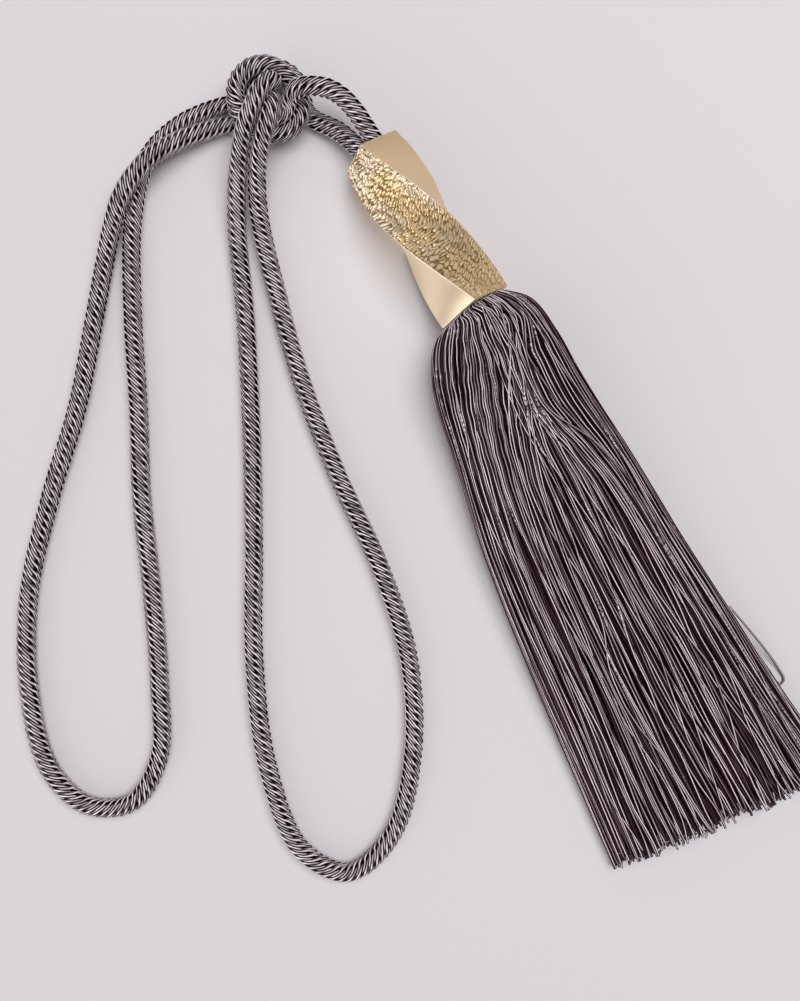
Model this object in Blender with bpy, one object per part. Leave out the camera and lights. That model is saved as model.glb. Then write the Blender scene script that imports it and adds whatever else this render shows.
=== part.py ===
"""Curtain tieback with a tassel: a doubled rope embrace, hitched to the tassel's own hanging rope, which runs
into a twisted gold head with a skirt of threads under it. It lies on its side on a table, ropes spread out.

Run it with: blender --background --python part.py
Lengths below are millimetres (MM turns them into metres). Seen from above, the ropes lie to the left, at -X,
and the skirt points to the lower right, at +X and -Y. Z points up, and z = 0 is the table. The origin is under
the middle of the head and skirt.
"""

import math
import random

import bmesh
import bpy
from mathutils import Vector

MM = 0.001
WHOLE = "curtain_tieback_tassel"

# ---- Ropes -------------------------------------------------------------------------------------------------
ROPE_DIAMETER = 8.0
ROPE_BEVEL_RESOLUTION = 2  # 8 sides
ROPE_LONGEST_STEP = 24.0  # three diameters between two points of the tube
EMBRACE_TURN_PER_STEP = math.radians(27)
HANGER_TURN_PER_STEP = math.radians(16)
ROPE_FINE_STEP = 0.5  # how finely the smooth curve is read before its points are picked

# The routes' own points, chosen by eye: x, y, z, and how far the rope is squeezed there (1 is its full girth).
# The embrace is one closed doubled rope. Its two ends meet, hidden under the left side of the hitch.
EMBRACE_ROUTE = (
    # from under the hitch, out to the left and down the inner side of the left loop
    (-150.5, 174.5, 3.8, 0.88), (-162.0, 172.6, 3.9, 0.96), (-180.0, 164.4, 4.0, 1.0), (-194.0, 149.5, 4.0, 1.0),
    (-199.9, 124.0, 4.0, 1.0), (-200.1, 82.0, 4.0, 1.0), (-197.8, 42.0, 4.0, 1.0), (-196.2, 2.0, 4.0, 1.0),
    (-191.7, -38.0, 4.0, 1.0), (-188.4, -80.0, 4.0, 1.0), (-188.8, -111.0, 4.0, 1.0),
    # round its bottom and up the outer side
    (-200.5, -130.4, 4.0, 1.0), (-220.0, -131.6, 4.0, 1.0), (-236.0, -116.5, 4.0, 1.0), (-244.8, -85.0, 4.0, 1.0),
    (-245.6, -41.0, 4.0, 1.0), (-236.2, 2.0, 4.0, 1.0), (-224.2, 42.0, 4.0, 1.0), (-216.6, 82.0, 4.0, 1.0),
    # over the first strand in a long low hump, and back under the hitch
    (-212.8, 102.0, 4.4, 1.0), (-208.6, 118.0, 7.4, 1.0), (-203.6, 130.5, 11.2, 1.0), (-197.0, 140.5, 12.8, 1.0),
    (-188.8, 149.0, 12.4, 1.0), (-179.5, 155.8, 9.2, 1.0), (-161.5, 164.2, 4.3, 0.96), (-147.4, 167.2, 4.0, 0.87),
    # up through the hitch, folded over its front, and down the right side of the right loop
    (-142.8, 169.0, 8.4, 0.86), (-141.8, 170.0, 13.5, 0.86), (-139.6, 170.0, 18.6, 0.86),
    (-136.6, 168.2, 22.2, 0.86), (-136.9, 163.4, 24.4, 0.87), (-139.0, 158.0, 23.8, 0.88),
    (-141.9, 151.0, 19.8, 0.9), (-144.2, 142.0, 13.6, 0.95), (-144.9, 131.0, 8.8, 1.0), (-143.8, 119.0, 5.4, 1.0),
    (-137.2, 91.0, 4.0, 1.0), (-126.0, 52.0, 4.0, 1.0), (-110.6, 12.0, 4.0, 1.0), (-92.4, -28.0, 4.0, 1.0),
    (-79.8, -68.0, 4.0, 1.0), (-78.1, -110.0, 4.0, 1.0),
    # round its bottom and up the left side
    (-87.2, -144.5, 4.0, 1.0), (-106.0, -161.0, 4.0, 1.0), (-126.8, -150.8, 4.0, 1.0), (-141.2, -115.0, 4.0, 1.0),
    (-147.2, -68.0, 4.0, 1.0), (-147.4, -18.0, 4.0, 1.0), (-148.2, 32.0, 4.0, 1.0), (-151.2, 86.0, 4.0, 1.0),
    (-153.6, 108.0, 4.4, 1.0), (-154.3, 120.0, 6.2, 1.0), (-152.4, 143.0, 14.6, 0.94), (-147.6, 158.6, 24.2, 0.88),
    # over the hitch's front beside the other fold, and down through it to the first end
    (-144.4, 164.6, 26.5, 0.87), (-140.8, 171.4, 27.4, 0.86), (-137.0, 175.2, 25.1, 0.86),
    (-137.6, 176.8, 19.0, 0.86), (-140.9, 177.0, 13.0, 0.86), (-143.0, 176.6, 7.8, 0.86),
    (-145.8, 175.3, 4.5, 0.87), (-150.2, 174.5, 3.8, 0.88),
)
# The hanging rope leaves the head twice. Between, it makes the hitch's two turns, the first over the second.
HANGER_ROUTE = (
    # out of the head's upper socket and over the hitch's right side
    (-89.6, 146.6, 16.6, 1.0), (-95.0, 155.0, 16.2, 1.0), (-102.3, 164.9, 19.2, 1.0), (-107.2, 169.7, 21.0, 1.0),
    (-112.6, 172.8, 22.0, 1.0), (-118.0, 173.9, 22.4, 0.97), (-123.2, 174.1, 22.0, 0.92),
    # down into it, under the embrace, and round the first turn
    (-127.4, 173.2, 20.2, 0.87), (-130.3, 170.9, 17.4, 0.86), (-131.9, 167.7, 15.6, 0.86),
    (-134.6, 164.6, 15.6, 0.86), (-139.4, 163.0, 16.9, 0.86), (-145.4, 163.0, 18.0, 0.86),
    (-150.6, 166.2, 18.4, 0.86), (-153.0, 172.0, 18.5, 0.86), (-151.4, 178.6, 18.5, 0.86),
    (-146.6, 183.4, 18.4, 0.86), (-140.0, 185.0, 18.0, 0.86), (-133.8, 183.0, 16.0, 0.86),
    (-129.2, 178.6, 13.0, 0.86), (-126.4, 173.0, 11.4, 0.88),
    # under the rope's own start, and round the second turn
    (-125.9, 167.2, 10.7, 0.88), (-129.4, 161.8, 10.3, 0.88), (-136.2, 159.0, 10.2, 0.87),
    (-143.6, 159.4, 10.8, 0.86), (-150.0, 163.2, 11.0, 0.86), (-153.6, 169.0, 11.1, 0.86),
    (-153.8, 175.8, 11.1, 0.86), (-150.8, 182.2, 10.8, 0.86), (-145.0, 186.6, 10.0, 0.86),
    (-138.0, 187.8, 9.2, 0.86), (-131.2, 185.6, 7.6, 0.86), (-127.0, 181.0, 5.2, 0.86),
    # out under the right side, and back into the head's lower socket
    (-125.6, 175.2, 3.8, 0.88), (-124.2, 170.4, 3.7, 0.92), (-120.4, 166.8, 4.1, 0.96), (-115.0, 164.0, 5.0, 1.0),
    (-109.4, 160.6, 6.8, 1.0), (-104.6, 156.0, 8.8, 1.0), (-100.4, 151.2, 9.8, 1.0), (-95.0, 142.8, 10.2, 1.0),
)

# ---- Gold head: a square bar with a quarter turn of twist ----------------------------------------------------
HEAD_TOP = Vector((-96.1, 150.6, 13.1))  # middle of the end that the rope enters
HEAD_BOTTOM = Vector((-51.8, 82.8, 16.1))  # middle of the end that holds the skirt
HEAD_FIRST_CORNER = math.radians(19.8)  # at the top end, from level, seen along the bar
HEAD_TWIST = math.radians(-106.8)
# how far along the bar, and the half diagonal of its square there
HEAD_GIRTH = ((0.0, 13.5), (0.13, 15.3), (0.3, 16.7), (0.6, 16.8), (0.75, 16.5), (1.0, 16.4))
HEAD_RINGS = 28
HEAD_POINTS_PER_SIDE = 4
SOCKET_RADIUS = 4.45  # of the two holes that the hanging rope's ends sit in
SOCKET_SIDES = 16
SOCKET_OFFSET = (3.3, 3.2)  # of each hole from the bar's middle, sideways and up
SOCKET_DEPTH = 8.5
MOUTH_RADIUS = 10.0  # of the recess that holds the skirt's neck
MOUTH_DEPTH = 9.0
CUT_PAST_END = 4.0

# ---- Skirt -------------------------------------------------------------------------------------------------
NECK_LENGTH = 8.5  # the part of the neck that sits in the head's mouth
SKIRT_COLUMNS = 24
SKIRT_ROWS = 5
SKIRT_SEGMENTS = 10
SKIRT_FILL = 0.8  # share of a cell that its lock fills, so that the locks stand apart
SKIRT_WAVE = 1.4  # how far the locks sway to the side
SKIRT_WAVES = 1.7  # sways along the skirt
SKIRT_RAGGED = 0.03  # share of its length by which a lock may end short
SKIRT_SEED = 7
# Sections from the neck to the cut end: left edge x, y; right edge x, y; underside z; widest z; top z;
# and how round the underside is (1 is an ellipse, 0 lies flat on the table).
SKIRT_SECTIONS = (
    (-59.4, 77.5, -43.7, 87.4, 8.1, 16.1, 24.1, 1.0),
    (-69.2, 67.3, -26.3, 85.9, 1.2, 15.0, 32.0, 0.7),
    (-70.6, 55.9, -15.6, 71.6, 0.0, 14.0, 36.0, 0.2),
    (-68.4, 41.2, -5.3, 53.7, 0.0, 13.0, 35.0, 0.0),
    (-60.1, 16.0, 12.4, 26.7, 0.0, 11.0, 30.0, 0.0),
    (-47.9, -22.5, 36.7, -11.8, 0.0, 8.0, 24.0, 0.0),
    (-29.6, -68.9, 60.2, -46.4, 0.0, 6.0, 19.0, 0.0),
    (-9.2, -116.6, 83.0, -81.1, 0.0, 5.0, 15.5, 0.0),
    (9.4, -159.6, 107.6, -116.4, 0.0, 4.5, 13.0, 0.0),
)

# ---- Finishes: colour, roughness, metallic -------------------------------------------------------------------
FINISHES = {
    "gold": ((0.78, 0.62, 0.36), 0.28, 1.0),
    "skirt_thread": ((0.085, 0.07, 0.08), 0.42, 0.0),
    "rope": ((0.12, 0.1, 0.115), 0.45, 0.0),
}


def clear_scene():
    for obj in list(bpy.data.objects):
        bpy.data.objects.remove(obj, do_unlink=True)


def make_collection(name):
    collection = bpy.data.collections.new(name)
    bpy.context.scene.collection.children.link(collection)
    return collection


def make_material(name):
    colour, roughness, metallic = FINISHES[name]
    material = bpy.data.materials.new(name)
    material.use_nodes = True
    shader = material.node_tree.nodes["Principled BSDF"]
    shader.inputs["Base Color"].default_value = (*colour, 1.0)
    shader.inputs["Roughness"].default_value = roughness
    shader.inputs["Metallic"].default_value = metallic
    return material


def make_object(name, data, material, collection):
    obj = bpy.data.objects.new(name, data)
    obj.data.materials.append(material)
    obj.parent = bpy.data.objects[WHOLE]
    collection.objects.link(obj)
    return obj


def mesh_from(name, shape):
    """Ends a bmesh made in millimetres as a mesh in metres, with its faces turned outwards."""
    bmesh.ops.recalc_face_normals(shape, faces=shape.faces)
    bmesh.ops.scale(shape, vec=(MM, MM, MM), verts=shape.verts)
    mesh = bpy.data.meshes.new(name)
    shape.to_mesh(mesh)
    shape.free()
    return mesh


def blend_table(table, place):
    """Reads a row at a place from 0 to 1 along evenly spaced rows, on a smooth curve through them."""
    last = len(table) - 1
    index = min(int(place * last), last - 1)
    part = place * last - index
    rows = [table[max(0, min(last, index + step))] for step in (-1, 0, 1, 2)]
    weights = (
        -0.5 * part + part**2 - 0.5 * part**3,
        1.0 - 2.5 * part**2 + 1.5 * part**3,
        0.5 * part + 2.0 * part**2 - 1.5 * part**3,
        -0.5 * part**2 + 0.5 * part**3,
    )
    return [sum(w * row[k] for w, row in zip(weights, rows)) for k in range(len(table[0]))]


# ---- Ropes -------------------------------------------------------------------------------------------------
def on_curve(points, knots, at):
    """One point of the centripetal Catmull-Rom curve through the middle two of four points."""

    def between(low, high, i, j):
        return low.lerp(high, (at - knots[i]) / (knots[j] - knots[i]))

    first, second, third = (between(points[i], points[i + 1], i, i + 1) for i in range(3))
    return between(between(first, second, 0, 2), between(second, third, 1, 3), 1, 2)


def smooth_route(route):
    """Reads the smooth curve through a route's points, about every ROPE_FINE_STEP."""
    rows = [Vector(row) for row in route]
    rows = [2 * rows[0] - rows[1], *rows, 2 * rows[-1] - rows[-2]]
    fine = []
    for i in range(1, len(rows) - 2):
        points = rows[i - 1 : i + 3]
        knots = [0.0]
        for a, b in zip(points, points[1:]):
            knots.append(knots[-1] + math.sqrt((b.xyz - a.xyz).length))
        count = math.ceil((points[2].xyz - points[1].xyz).length / ROPE_FINE_STEP)
        for step in range(count):
            at = knots[1] + (knots[2] - knots[1]) * step / count
            fine.append(on_curve(points, knots, at))
    fine.append(rows[-2])
    for point in fine:
        point.z = max(point.z, ROPE_DIAMETER / 2 * point.w)  # the table holds the rope up
    return fine


def tube_points(fine, turn_per_step):
    """Picks the tube's points: close together where the rope bends, three diameters apart where it runs straight."""
    picked = [fine[0]]
    turned, run = 0.0, 0.0
    for before, here, after in zip(fine, fine[1:], fine[2:]):
        turned += (here.xyz - before.xyz).angle(after.xyz - here.xyz)
        run += (here.xyz - before.xyz).length
        if turned > turn_per_step or run > ROPE_LONGEST_STEP:
            picked.append(here)
            turned, run = 0.0, 0.0
    picked.append(fine[-1])
    return picked


def make_rope(name, route, turn_per_step, material, collection):
    curve = bpy.data.curves.new(name, "CURVE")
    curve.dimensions = "3D"
    curve.bevel_depth = ROPE_DIAMETER / 2 * MM
    curve.bevel_resolution = ROPE_BEVEL_RESOLUTION
    curve.use_fill_caps = True
    points = tube_points(smooth_route(route), turn_per_step)
    spline = curve.splines.new("POLY")
    spline.points.add(len(points) - 1)
    for target, point in zip(spline.points, points):
        target.co = (*(point.xyz * MM), 1.0)
        target.radius = point.w
    return make_object(name, curve, material, collection)


# ---- Gold head ---------------------------------------------------------------------------------------------
def head_axes():
    """The bar's own directions: along it, level across it, and up from it."""
    along = (HEAD_BOTTOM - HEAD_TOP).normalized()
    across = Vector((-along.y, along.x, 0.0)).normalized()
    return along, across, across.cross(-along)


def head_girth(place):
    for (low, small), (high, large) in zip(HEAD_GIRTH, HEAD_GIRTH[1:]):
        if place <= high:
            part = (place - low) / (high - low)
            smooth = part * part * (3 - 2 * part)
            return small + (large - small) * (part + smooth) / 2
    return HEAD_GIRTH[-1][1]


def head_ring(place):
    """The square outline at a place along the bar, a corner down to the table pressed flat on it."""
    _, across, up = head_axes()
    middle = HEAD_TOP.lerp(HEAD_BOTTOM, place)
    corners = []
    for k in range(4):
        angle = HEAD_FIRST_CORNER + HEAD_TWIST * place + math.pi / 2 * k
        corners.append(middle + head_girth(place) * (math.cos(angle) * across + math.sin(angle) * up))
    ring = []
    for start, end in zip(corners, corners[1:] + corners[:1]):
        for step in range(HEAD_POINTS_PER_SIDE):
            point = start.lerp(end, step / HEAD_POINTS_PER_SIDE)
            point.z = max(point.z, 0.0)
            ring.append(point)
    return ring


def loft(rings):
    """A closed skin through rings of equal numbers of points."""
    shape = bmesh.new()
    rows = [[shape.verts.new(point) for point in ring] for ring in rings]
    for low, high in zip(rows, rows[1:]):
        for i in range(len(low)):
            j = (i + 1) % len(low)
            shape.faces.new((low[i], low[j], high[j], high[i]))
    shape.faces.new(rows[0])
    shape.faces.new(rows[-1])
    return shape


def make_cutter(name, radius, start, end, collection):
    """A round cutter between two points, kept out of the render."""
    shape = bmesh.new()
    bmesh.ops.create_cone(
        shape, cap_ends=True, segments=SOCKET_SIDES, radius1=radius, radius2=radius, depth=(end - start).length
    )
    turn = (end - start).to_track_quat("Z", "Y").to_matrix()
    bmesh.ops.rotate(shape, matrix=turn, verts=shape.verts)
    bmesh.ops.translate(shape, vec=(start + end) / 2, verts=shape.verts)
    cutter = bpy.data.objects.new(name, mesh_from(name, shape))
    cutter.hide_render = True
    cutter.display_type = "WIRE"
    collection.objects.link(cutter)
    return cutter


def make_head(material, collection, cutters):
    along, across, up = head_axes()
    shape = loft([head_ring(ring / HEAD_RINGS) for ring in range(HEAD_RINGS + 1)])
    head = make_object("head", mesh_from("head", shape), material, collection)
    holes = [
        make_cutter("mouth_cutter", MOUTH_RADIUS, HEAD_BOTTOM - along * MOUTH_DEPTH, HEAD_BOTTOM + along * CUT_PAST_END,
                    cutters)
    ]
    for side, name in ((1, "upper_socket_cutter"), (-1, "lower_socket_cutter")):
        middle = HEAD_TOP + side * (SOCKET_OFFSET[0] * across + SOCKET_OFFSET[1] * up)
        holes.append(
            make_cutter(name, SOCKET_RADIUS, middle + along * SOCKET_DEPTH, middle - along * CUT_PAST_END, cutters)
        )
    for cutter in holes:
        cut = head.modifiers.new(cutter.name, "BOOLEAN")
        cut.operation = "DIFFERENCE"
        cut.solver = "EXACT"
        cut.object = cutter
    return head


# ---- Skirt -------------------------------------------------------------------------------------------------
def skirt_point(place, column, row):
    """A point of the skirt: place 0 at the neck to 1 at the cut end, column -1 to 1 from its left edge to its
    right, row -1 to 1 from its underside to its top."""
    left_x, left_y, right_x, right_y, low, middle, high, round_under = blend_table(SKIRT_SECTIONS, place)
    round_here = 1.0 if row > 0 else max(0.0, round_under)
    wide = column * math.sqrt(1 - row * row / 2 * round_here)
    tall = row * math.sqrt(1 - column * column / 2 * round_here)
    height = middle + tall * (high - middle if row > 0 else middle - max(0.0, low))
    sway = SKIRT_WAVE * place * math.sin(math.tau * (SKIRT_WAVES * place + 0.35 * column + 0.21 * row))
    left, right = Vector((left_x, left_y, 0.0)), Vector((right_x, right_y, 0.0))
    point = left.lerp(right, (wide + 1) / 2) + sway * (right - left).normalized()
    return Vector((point.x, point.y, height))


def lock_corners(place, i, j):
    """The four corners of one lock's section, inside its cell of the skirt."""
    corners = []
    for side_u, side_v in ((-1, -1), (1, -1), (1, 1), (-1, 1)):
        column = -1 + (2 * i + 1 + side_u * SKIRT_FILL) / SKIRT_COLUMNS
        row = -1 + (2 * j + 1 + side_v * SKIRT_FILL) / SKIRT_ROWS
        if j == 0 and side_v < 0:
            row = -1.0  # the lowest locks lie flat on the table
        corners.append(skirt_point(place, column, row))
    return corners


def make_skirt(material, collection):
    """The threads as flat locks, each drawn out of its own cell of the neck's end, so that all are one solid."""
    rng = random.Random(SKIRT_SEED)
    along, _, _ = head_axes()
    shape = bmesh.new()
    grid = [
        [
            shape.verts.new(skirt_point(0.0, -1 + 2 * i / SKIRT_COLUMNS, -1 + 2 * j / SKIRT_ROWS))
            for j in range(SKIRT_ROWS + 1)
        ]
        for i in range(SKIRT_COLUMNS + 1)
    ]
    # the neck's back end, deep in the head's mouth
    rim = [(i, 0) for i in range(SKIRT_COLUMNS)] + [(SKIRT_COLUMNS, j) for j in range(SKIRT_ROWS)]
    rim += [(i, SKIRT_ROWS) for i in range(SKIRT_COLUMNS, 0, -1)] + [(0, j) for j in range(SKIRT_ROWS, 0, -1)]
    front = [grid[i][j] for i, j in rim]
    back = [shape.verts.new(vert.co - along * NECK_LENGTH) for vert in front]
    for k in range(len(front)):
        n = (k + 1) % len(front)
        shape.faces.new((front[k], back[k], back[n], front[n]))
    shape.faces.new(back)
    for i in range(SKIRT_COLUMNS):
        for j in range(SKIRT_ROWS):
            cell = [grid[i][j], grid[i + 1][j], grid[i + 1][j + 1], grid[i][j + 1]]
            ring = [shape.verts.new(corner) for corner in lock_corners(0.0, i, j)]
            for k in range(4):
                shape.faces.new((cell[k], cell[(k + 1) % 4], ring[(k + 1) % 4], ring[k]))
            end = 1.0 - SKIRT_RAGGED * rng.random()
            for segment in range(1, SKIRT_SEGMENTS + 1):
                tip = [shape.verts.new(corner) for corner in lock_corners(end * segment / SKIRT_SEGMENTS, i, j)]
                for k in range(4):
                    shape.faces.new((ring[k], ring[(k + 1) % 4], tip[(k + 1) % 4], tip[k]))
                ring = tip
            shape.faces.new(ring)
    return make_object("skirt", mesh_from("skirt", shape), material, collection)


def main():
    clear_scene()
    parts = make_collection(WHOLE)
    parts.objects.link(bpy.data.objects.new(WHOLE, None))
    cutters = make_collection("cutters")
    materials = {name: make_material(name) for name in FINISHES}
    make_head(materials["gold"], parts, cutters)
    make_skirt(materials["skirt_thread"], parts)
    make_rope("embrace_rope", EMBRACE_ROUTE, EMBRACE_TURN_PER_STEP, materials["rope"], parts)
    make_rope("hanging_rope", HANGER_ROUTE, HANGER_TURN_PER_STEP, materials["rope"], parts)


main()
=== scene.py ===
"""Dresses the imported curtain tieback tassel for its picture: rope strands, hammered gold head and threads.

Lengths in the tables below are millimetres (MM turns them into metres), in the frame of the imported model:
X to the picture's right, Y to its top, Z up from the table.
"""

import math

import bmesh
import bpy
import numpy as np
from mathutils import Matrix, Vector


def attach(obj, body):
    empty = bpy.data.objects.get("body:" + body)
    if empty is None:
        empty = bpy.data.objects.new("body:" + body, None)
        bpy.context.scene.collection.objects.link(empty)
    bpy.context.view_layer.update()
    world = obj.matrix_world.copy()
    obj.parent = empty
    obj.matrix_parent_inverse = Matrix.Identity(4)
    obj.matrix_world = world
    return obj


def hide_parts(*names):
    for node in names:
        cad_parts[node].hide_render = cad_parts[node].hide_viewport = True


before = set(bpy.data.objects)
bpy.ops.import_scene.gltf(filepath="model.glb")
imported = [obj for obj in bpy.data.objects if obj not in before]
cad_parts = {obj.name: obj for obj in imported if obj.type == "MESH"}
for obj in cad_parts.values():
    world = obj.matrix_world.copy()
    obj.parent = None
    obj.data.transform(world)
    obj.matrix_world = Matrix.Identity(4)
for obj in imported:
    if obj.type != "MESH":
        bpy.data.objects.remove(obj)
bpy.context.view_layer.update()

MM = 0.001
UP = np.array((0.0, 0.0, 1.0))
SEED = 11

# ---- Camera ----
CAMERA_MM = (-83.6, 1.1, 430.0)  # it looks straight down
VIEW_HALF_HEIGHT_MM = 220.2  # what half of the frame's height covers on the table
SENSOR_MM = 36.0

# ---- Studio ----
WORLD_BRIGHT_WAY = (-0.72, -0.6, 0.35)  # the way in which the room is brightest
WORLD_COLOURS = ((0.0, (0.78, 0.75, 0.77)), (0.14, (0.7, 0.68, 0.7)), (0.28, (0.42, 0.4, 0.41)),
                 (0.42, (0.78, 0.76, 0.78)), (0.56, (0.46, 0.44, 0.45)), (0.7, (0.8, 0.78, 0.8)),
                 (0.82, (0.5, 0.48, 0.5)), (0.9, (1.4, 1.37, 1.4)), (1.0, (2.7, 2.65, 2.7)))
WORLD_STRENGTH = 0.8
WORLD_FILL = 0.45  # share of it that lights matt surfaces: the gold mirrors the whole
KEY_PLACE, KEY_TARGET = (650, 700, 3000), (-60, 0, 0)
KEY_SIZE, KEY_POWER, KEY_COLOUR = 2400, 77.0, (1.0, 0.985, 0.98)
TABLE_HALF_SIZE, TABLE_DROP = 6000.0, 0.05  # the table lies a hair below the part
TABLE_COLOUR, TABLE_ROUGHNESS = (0.77, 0.745, 0.77, 1.0), 0.45

# ---- Ropes ----
ROPE_DIAMETER = 8.0
# Points of each rope's middle: x and y; z where it is off the table; and the share of its thickness that is
# left where it is squeezed.
EMBRACE_ROUTE = (
    # from under the hitch, out to the left and down the inner side of the left loop
    (-150.5, 174.5, 3.8, 0.88), (-162.0, 172.6, 3.9, 0.96), (-180.0, 164.4), (-194.0, 149.5), (-199.9, 124.0),
    (-200.1, 82.0), (-197.8, 42.0), (-196.2, 2.0), (-191.7, -38.0), (-188.4, -80.0), (-188.8, -111.0),
    # round its bottom and up the outer side
    (-200.5, -130.4), (-220.0, -131.6), (-236.0, -116.5), (-244.8, -85.0), (-245.6, -41.0), (-236.2, 2.0),
    (-224.2, 42.0), (-216.6, 82.0),
    # over the first strand in a long low hump, and back under the hitch
    (-212.8, 102.0, 4.4), (-208.6, 118.0, 7.4), (-203.6, 130.5, 11.2), (-197.0, 140.5, 12.8),
    (-188.8, 149.0, 12.4), (-179.5, 155.8, 9.2), (-161.5, 164.2, 4.3, 0.96), (-147.4, 167.2, 4.0, 0.87),
    # up through the hitch, folded over its front, and down the right side of the right loop
    (-142.8, 169.0, 8.4, 0.86), (-141.8, 170.0, 13.5, 0.86), (-139.6, 170.0, 18.6, 0.86),
    (-136.6, 168.2, 22.2, 0.86), (-136.9, 163.4, 24.4, 0.87), (-139.0, 158.0, 23.8, 0.88),
    (-141.9, 151.0, 19.8, 0.9), (-144.2, 142.0, 13.6, 0.95), (-144.9, 131.0, 8.8), (-143.8, 119.0, 5.4),
    (-137.2, 91.0), (-126.0, 52.0), (-110.6, 12.0), (-92.4, -28.0), (-79.8, -68.0), (-78.1, -110.0),
    # round its bottom and up the left side
    (-87.2, -144.5), (-106.0, -161.0), (-126.8, -150.8), (-141.2, -115.0), (-147.2, -68.0), (-147.4, -18.0),
    (-148.2, 32.0), (-151.2, 86.0), (-153.6, 108.0, 4.4), (-154.3, 120.0, 6.2), (-152.4, 143.0, 14.6, 0.94),
    (-147.6, 158.6, 24.2, 0.88),
    # over the hitch's front beside the other fold, and down through it to the first end
    (-144.4, 164.6, 26.5, 0.87), (-140.8, 171.4, 27.4, 0.86), (-137.0, 175.2, 25.1, 0.86),
    (-137.6, 176.8, 19.0, 0.86), (-140.9, 177.0, 13.0, 0.86), (-143.0, 176.6, 7.8, 0.86),
    (-145.8, 175.3, 4.5, 0.87), (-150.2, 174.5, 3.8, 0.88),
)
HANGER_ROUTE = (
    # out of the head's upper socket and over the hitch's right side
    (-89.6, 146.6, 16.6), (-95.0, 155.0, 16.2), (-102.3, 164.9, 19.2), (-107.2, 169.7, 21.0),
    (-112.6, 172.8, 22.0), (-118.0, 173.9, 22.4, 0.97), (-123.2, 174.1, 22.0, 0.92),
    # down into it, under the embrace, and round the first turn
    (-127.4, 173.2, 20.2, 0.87), (-130.3, 170.9, 17.4, 0.86), (-131.9, 167.7, 15.6, 0.86),
    (-134.6, 164.6, 15.6, 0.86), (-139.4, 163.0, 16.9, 0.86), (-145.4, 163.0, 18.0, 0.86),
    (-150.6, 166.2, 18.4, 0.86), (-153.0, 172.0, 18.5, 0.86), (-151.4, 178.6, 18.5, 0.86),
    (-146.6, 183.4, 18.4, 0.86), (-140.0, 185.0, 18.0, 0.86), (-133.8, 183.0, 16.0, 0.86),
    (-129.2, 178.6, 13.0, 0.86), (-126.4, 173.0, 11.4, 0.88),
    # under the rope's own start, and round the second turn
    (-125.9, 167.2, 10.7, 0.88), (-129.4, 161.8, 10.3, 0.88), (-136.2, 159.0, 10.2, 0.87),
    (-143.6, 159.4, 10.8, 0.86), (-150.0, 163.2, 11.0, 0.86), (-153.6, 169.0, 11.1, 0.86),
    (-153.8, 175.8, 11.1, 0.86), (-150.8, 182.2, 10.8, 0.86), (-145.0, 186.6, 10.0, 0.86),
    (-138.0, 187.8, 9.2, 0.86), (-131.2, 185.6, 7.6, 0.86), (-127.0, 181.0, 5.2, 0.86),
    # out under the right side, and back into the head's lower socket
    (-125.6, 175.2, 3.8, 0.88), (-124.2, 170.4, 3.7, 0.92), (-120.4, 166.8, 4.1, 0.96), (-115.0, 164.0, 5.0),
    (-109.4, 160.6, 6.8), (-104.6, 156.0, 8.8), (-100.4, 151.2, 9.8), (-95.0, 142.8, 10.2),
)
ROPE_FINE_STEP = 0.5  # between points of the smooth curve
STRANDS = 16
STRAND_LEAD = 25.6  # length of rope in which a strand goes once round
STRAND_STEPS_PER_TURN = 23
STRAND_RADIUS = 0.59
STRAND_ANGLES = (0, 72, 180, 288)  # of the points of a strand's section, from straight outwards
STRAND_RING_RADIUS = 3.34  # from the rope's middle to a strand's middle
STRAND_GLINT, GLINT_NOISE, GLINT_NOISE_MM = 0.66, 0.45, 2.3  # a strand's painted highlight, and its changes along it
CORE_RADIUS = 3.0
CORE_ANGLES = tuple(range(0, 360, 45))
CORE_STEP = 2.5
# Seams are stripes along the rope where every other strand rises over the next: their places round the rope,
# in radians, and 1 where the even strands rise or -1 where the odd ones do.
SEAM_PLACES = ((-1.88, 1), (-0.63, -1), (0.63, 1), (1.88, -1), (3.14, 1))
SEAM_WIDTH = 0.22  # radians
SEAM_SHIFT = 0.1  # how far a strand that rises also moves round the rope, in radians
SEAM_RISE, SEAM_THICKENING = 0.36, 0.4  # how far it rises in mm, and how much thicker it is there
SEAM_GLINT, SEAM_SHADE = 0.5, 1.0  # how much painted highlight the strand above gains, and how much painted shade darkens the one below
SEAM_SWAY, SEAM_SWAY_MM = 0.35, 50.0  # how far the seams sway round the rope, and over what length
SEAM_UPWARD = 0.05  # how soon they are back at the rope's top after the hitch
SQUEEZE_SHOWN = 0.35  # share of the squeeze inside the hitch that shows

# ---- Gold head ----
HEAD_TOP = np.array((-96.1, 150.6, 13.1))
HEAD_BOTTOM = np.array((-51.8, 82.8, 16.1))
HEAD_FIRST_CORNER = math.radians(19.8)
HEAD_TWIST = math.radians(-106.8)
HEAD_GIRTH = ((0.0, 13.5), (0.13, 15.3), (0.3, 16.7), (0.6, 16.8), (0.75, 16.5), (1.0, 16.4))
HEAD_SIDE = 23.0  # a side's width, on which its relief is laid out
HEAD_END_RADIUS = 16.0  # roughly, at both ends
HEAD_RINGS = 360
HAMMERED_POINTS, SMOOTH_POINTS = 108, 14  # across one side
GOLD_TONES = (0.12, 0.72)  # the heights in the shade at which gold is painted darkest, as shade in its hollows, and palest
SMOOTH_SIDE_PAINTED_SHADE = (0.42, 0.72)  # the heights that paint the two smooth sides, the first darker as painted shade
EDGE_STRIP = 0.2  # width of the smooth strip on each side of an edge
EDGE_PULL = 0.012  # how far an edge is drawn in, as a share of the bar's radius
EDGE_PAINTED_HIGHLIGHT = (0.1, 0.3)  # from an edge, where its painted highlight starts to fade and where it ends
END_ROUNDING = 0.5
RIDGE_HEIGHT = 0.85  # from a crease's bottom to a crest
RIDGE_MIDDLE = 0.75  # the height in the pattern that lies in the bar's own surface
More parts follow.
